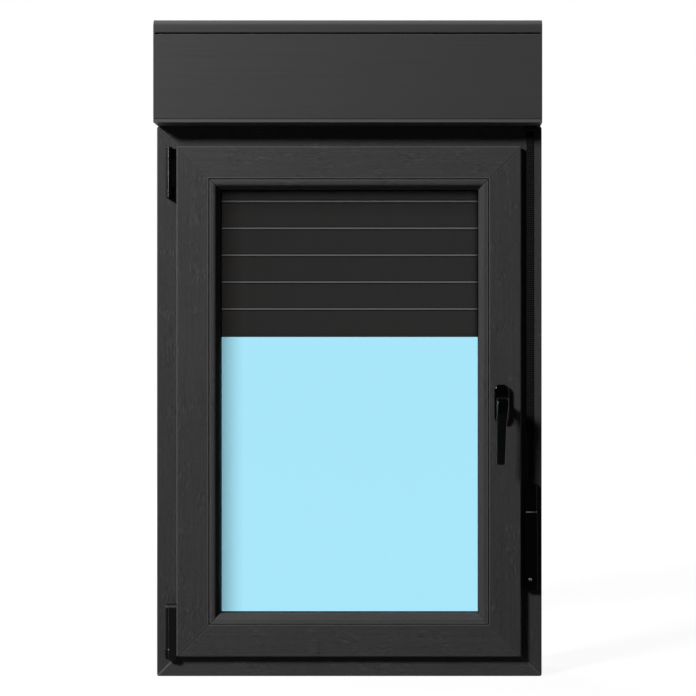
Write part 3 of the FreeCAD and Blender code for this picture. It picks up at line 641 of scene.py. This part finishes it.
rosette = soft_plate("rosette_smooth", "handle_rosette", corner=11 * MM, soft=3.4 * MM,
                     material=HANDLE_BLACK)
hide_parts("handle_rosette")

RIB_PITCH = 3.9 * MM
STRAP_BORDER = 1.7 * MM
BORDER_SLOPE = 1.4
BORDER_DEPTH = 0.35


def ribbed_strap(name, node, steps=6):
    """A woven band with ribs across it between two flat borders."""
    low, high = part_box(node)
    ribs_from = STRAP_BORDER * BORDER_SLOPE
    across = [low.x, low.x + STRAP_BORDER, low.x + ribs_from,
              high.x - ribs_from, high.x - STRAP_BORDER, high.x]
    ribbed = [False, False, True, True, False, False]
    rows = round((high.z - low.z) / RIB_PITCH) * steps
    front = []
    for row in range(rows + 1):
        height = low.z + (high.z - low.z) * row / rows
        groove = 0.5 - 0.5 * math.cos(FULL_TURN * row / steps)
        for x, has_rib in zip(across, ribbed):
            depth = groove if has_rib else BORDER_DEPTH
            front.append((x, low.y + RIB_DEPTH * depth, height))
    width = len(across)
    back = [(x, high.y, z) for x, _, z in front]
    points = front + back
    faces = []
    for row in range(rows):
        for column in range(width - 1):
            a = row * width + column
            faces.append((a, a + 1, a + 1 + width, a + width))
            b = a + len(front)
            faces.append((b, b + width, b + 1 + width, b + 1))
        for column, turn in ((0, False), (width - 1, True)):
            a = row * width + column
            b = a + len(front)
            side = (a, a + width, b + width, b)
            faces.append(tuple(reversed(side)) if turn else side)
    last = rows * width
    for start, turn in ((0, False), (last, True)):
        for column in range(width - 1):
            a = start + column
            end = (a, a + len(front), a + 1 + len(front), a + 1)
            faces.append(tuple(reversed(end)) if turn else end)
    return piece(name, points, faces, WEBBING)


strap = ribbed_strap("strap_ribbed", "lift_strap")
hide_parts("lift_strap")

# Shares of the screw head's radius and height
SLOT_HALF = 0.16
SLOT_REACH = 0.62
SLOT_DEPTH = 0.55
HEAD_CURVE = 4
LAST_RING = 0.01


def screw_head(name, x, face_y, z, radius, height, turns=40, steps=10):
    """A pan head with a cross recess, on a face that looks into the room."""
    rings = []
    for step in range(steps + 1):
        distance = radius * (1 - step / steps)
        ring = []
        for turn in range(turns):
            angle = FULL_TURN * turn / turns
            across = distance * math.cos(angle)
            up = distance * math.sin(angle)
            rise = height * math.sqrt(max(0.0, 1 - (distance / radius) ** HEAD_CURVE))
            if min(abs(across), abs(up)) < radius * SLOT_HALF and distance < radius * SLOT_REACH:
                rise -= height * SLOT_DEPTH
            ring.append((x + across, face_y - rise, z + up))
        rings.append(ring)
    rings[-1] = [(x + (px - x) * LAST_RING, py, z + (pz - z) * LAST_RING) for px, py, pz in rings[-2]]
    points, faces = stacked(rings)
    return piece(name, points, faces, STEEL)


# The winder's screw, at its place in the photograph
plate_low, plate_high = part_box("winder_plate")
hood_low, hood_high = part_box("winder_hood")
SCREW_X = 328.6 * MM
SCREW_Z = 178 * MM
screw_head("winder_screw", SCREW_X, plate_low.y, SCREW_Z, radius=3.0 * MM, height=1.4 * MM)

# A bare metal lip where the winder's plate ends under its hood
WINDER_LIP_RISE = 1.6 * MM
WINDER_LIP_INSET = 1 * MM
WINDER_LIP_BEVEL = 0.4 * MM
WINDER_LIP_CORNER = 0.3 * MM


def winder_lip(name):
    """A low bar as wide as the hood, with a bevelled front."""
    half_across = (hood_high.x - hood_low.x) / 2 - WINDER_LIP_INSET
    middle_x = (hood_high.x + hood_low.x) / 2
    middle_z = plate_high.z + WINDER_LIP_RISE / 2
    levels = ((hood_low.y, 0.0), (plate_low.y + WINDER_LIP_BEVEL, 0.0), (plate_low.y, WINDER_LIP_BEVEL))
    rings = []
    for depth, inset in levels:
        half_up = (WINDER_LIP_RISE - inset) / 2
        outline = rounded_outline(half_across - inset, half_up, WINDER_LIP_CORNER, steps=3)
        rings.append([(middle_x + x, depth, middle_z + z) for x, z in outline])
    points, faces = stacked(rings)
    return piece(name, points, faces, STEEL)


winder_lip("winder_lip")

DOME_TURN = math.radians(88)


def stud(name, x, face_y, z, radius, height, turns=24, steps=6):
    """A small round stud on a face that looks into the room."""
    rings = []
    for step in range(steps + 1):
        angle = DOME_TURN * step / steps
        reach = radius * math.cos(angle)
        depth = face_y - height * math.sin(angle)
        ring = []
        for turn in range(turns):
            around = FULL_TURN * turn / turns
            ring.append((x + reach * math.cos(around), depth, z + reach * math.sin(around)))
        rings.append(ring)
    points, faces = stacked(rings)
    return piece(name, points, faces, STEEL)


cover_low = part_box("bottom_hinge_sash_leaf")[0]
STUD_X = -326.4 * MM
STUD_SUNK = 0.4 * MM
STUD_ABOVE_FOOT = 0.2 * MM
stud("bottom_hinge_stud", STUD_X, cover_low.y + STUD_SUNK, cover_low.z + STUD_ABOVE_FOOT,
     radius=1.9 * MM, height=1.6 * MM)

# Camera, in line with the photograph
CAMERA = Vector((0.156, -2.835, 0.587))
LENS = 79.63
SENSOR = 36
SHIFT = (-0.1251, 0.0079)

camera_data = bpy.data.cameras.new("camera")
camera_data.lens = LENS
camera_data.sensor_width = SENSOR
camera_data.shift_x, camera_data.shift_y = SHIFT
camera = bpy.data.objects.new("camera", camera_data)
camera.location = CAMERA
camera.rotation_euler = (QUARTER_TURN, 0, 0)
bpy.context.scene.collection.objects.link(camera)
bpy.context.scene.camera = camera

# Background: white for the rays that show it, and dark for those that would light the window
AMBIENT = 0.014
REAR_SOFT = 0.2


def seen_through(tree, path):
    """1 for the rays that pass straight through a pane, and 0 for those that a pane throws back."""
    plain = math_of(tree, "LESS_THAN", path.outputs["Glossy Depth"], 0.5)
    return math_of(tree, "MULTIPLY", path.outputs["Is Transmission Ray"], plain)


def behind_mask(tree, place_kind):
    """1 for the rays that show the background, which mirrors see only behind the window."""
    path = tree.nodes.new("ShaderNodeLightPath")
    place = tree.nodes.new("ShaderNodeTexCoord")
    _, depth, _ = parts_of(tree, place.outputs[place_kind])
    rear = spread_of(tree, depth, -REAR_SOFT, REAR_SOFT, 0.0, 1.0)
    glossy = math_of(tree, "MULTIPLY", path.outputs["Is Glossy Ray"], rear)
    direct = math_of(tree, "MAXIMUM", path.outputs["Is Camera Ray"], glossy)
    return math_of(tree, "MAXIMUM", direct, seen_through(tree, path))


# Floor, a little less than white near the window and white farther out
FLOOR_REACH = 30.0
FLOOR_GREY = (0.12, 0.12, 0.12, 1.0)
GLOW_REACH = (1.0, 3.0)
GLOW = (0.93, 1.0)

floor_mesh = bpy.data.meshes.new("floor")
corners = [(-1, -1), (1, -1), (1, 1), (-1, 1)]
floor_mesh.from_pydata([(x * FLOOR_REACH, y * FLOOR_REACH, 0.0) for x, y in corners], [], [(0, 1, 2, 3)])
floor = bpy.data.objects.new("floor", floor_mesh)
bpy.context.scene.collection.objects.link(floor)
floor_paint = Surface("floor", FLOOR_GREY, roughness=0.9, specular=0.0)
floor_paint.shader.inputs["Emission Color"].default_value = WHITE
far = floor_paint.tree.nodes.new("ShaderNodeVectorMath")
far.operation = "LENGTH"
floor_paint.link(floor_paint.place, far.inputs[0])
glow = floor_paint.spread(far.outputs["Value"], *GLOW_REACH, *GLOW)
shown_glow = floor_paint.times(behind_mask(floor_paint.tree, "Object"), glow)
floor_paint.link(shown_glow, floor_paint.shader.inputs["Emission Strength"])
flat_light = floor_paint.tree.nodes.new("ShaderNodeEmission")
flat_light.inputs["Color"].default_value = WHITE
floor_path = floor_paint.tree.nodes.new("ShaderNodeLightPath")
floor_choice = floor_paint.tree.nodes.new("ShaderNodeMixShader")
floor_paint.link(seen_through(floor_paint.tree, floor_path), floor_choice.inputs[0])
floor_paint.link(floor_paint.shader.outputs[0], floor_choice.inputs[1])
floor_paint.link(flat_light.outputs[0], floor_choice.inputs[2])
floor_paint.link(floor_choice.outputs[0], floor_paint.output.inputs["Surface"])
floor_mesh.materials.append(floor_paint.material)

world = bpy.data.worlds.new("studio")
bpy.context.scene.world = world
world.use_nodes = True
world_tree = world.node_tree
backdrop = world_tree.nodes["Background"]
backdrop.inputs["Color"].default_value = WHITE
level = spread_of(world_tree, behind_mask(world_tree, "Generated"), 0.0, 1.0, AMBIENT, 1.0)
world_tree.links.new(level, backdrop.inputs["Strength"])

# Light


def group_of(name, members, left_out):
    """A collection that names objects, or every object but these where they are left out."""
    group = bpy.data.collections.new(name)
    for entry in members:
        group.objects.link(entry)
    if left_out:
        for entry in group.collection_objects:
            entry.light_linking.link_state = "EXCLUDE"
    return group


def lamp(name, place, target, size, watts, only=None, never=None, past=None, height=None,
         colour=(1.0, 1.0, 1.0)):
    """A soft lamp that points at a target. It may be kept to some objects, off them, or light past them."""
    data = bpy.data.lights.new(name, "AREA")
    data.shape = "ELLIPSE"
    data.size = size
    data.size_y = height or size
    data.color = colour
    data.energy = watts
    made = bpy.data.objects.new(name, data)
    made.location = place
    made.rotation_mode = "QUATERNION"
    made.rotation_quaternion = (Vector(target) - Vector(place)).to_track_quat("-Z", "Y")
    bpy.context.scene.collection.objects.link(made)
    if only or never:
        made.light_linking.receiver_collection = group_of(f"{name}_reach", only or never, bool(never))
    if past:
        made.light_linking.blocker_collection = group_of(f"{name}_past", past, True)
    return made


CURTAIN = [nodes["shutter_slats"], nodes["shutter_bottom_bar"], nodes["shutter_stops"]]
GLOSSY = [nodes["handle_lever"], nodes["top_hinge_frame_leaf"], nodes["top_hinge_sash_leaf"],
          nodes["top_hinge_pin"], nodes["bottom_hinge_pin"]]
NEAR_GLASS = [nodes["glass_inner_pane"], nodes["glass_outer_pane"], nodes["glazing_seal_room"],
              nodes["glass_spacer"], nodes["bead_left"], nodes["bead_right"], nodes["bead_top"],
              nodes["bead_bottom"]]
ROOM_ONLY = GLOSSY + NEAR_GLASS + [rosette]
CENTRE = Vector((0.0, 0.0, 0.6))
KEY_TARGET = Vector((-0.05, 0.0, 0.85))
WARM = (1.0, 0.485, 0.41)

# The main lamp, high on the left in the room. It lights past the strap, which throws no shadow in the photo.
lamp("key", Vector((-3.0, -3.4, 3.07)), KEY_TARGET, size=1.07, watts=262, never=CURTAIN, past=[strap])
# A tall narrow lamp for the streaks on the glossy black fittings
lamp("streak", Vector((-1.7, -2.4, 1.0)), CENTRE, size=0.25, watts=50, only=GLOSSY, height=1.8)
# A warm lamp for the curtain alone, which the blue panes turn neutral
lamp("curtain", Vector((0.25, -2.6, 0.76)), CENTRE, size=0.5, watts=67, only=CURTAIN, colour=WARM)
lamp("fill", Vector((2.2, -2.6, 1.2)), CENTRE, size=2.0, watts=0.8, never=CURTAIN)
# Two lamps behind the window's plane, for its outdoor side and its right side
lamp("rear", Vector((-1.8, 3.0, 2.2)), CENTRE, size=2.0, watts=80, never=ROOM_ONLY)
lamp("side", Vector((3.0, 1.3, 1.5)), CENTRE, size=1.5, watts=45, never=ROOM_ONLY + CURTAIN + [floor])

bpy.context.scene.view_settings.view_transform = "Standard"
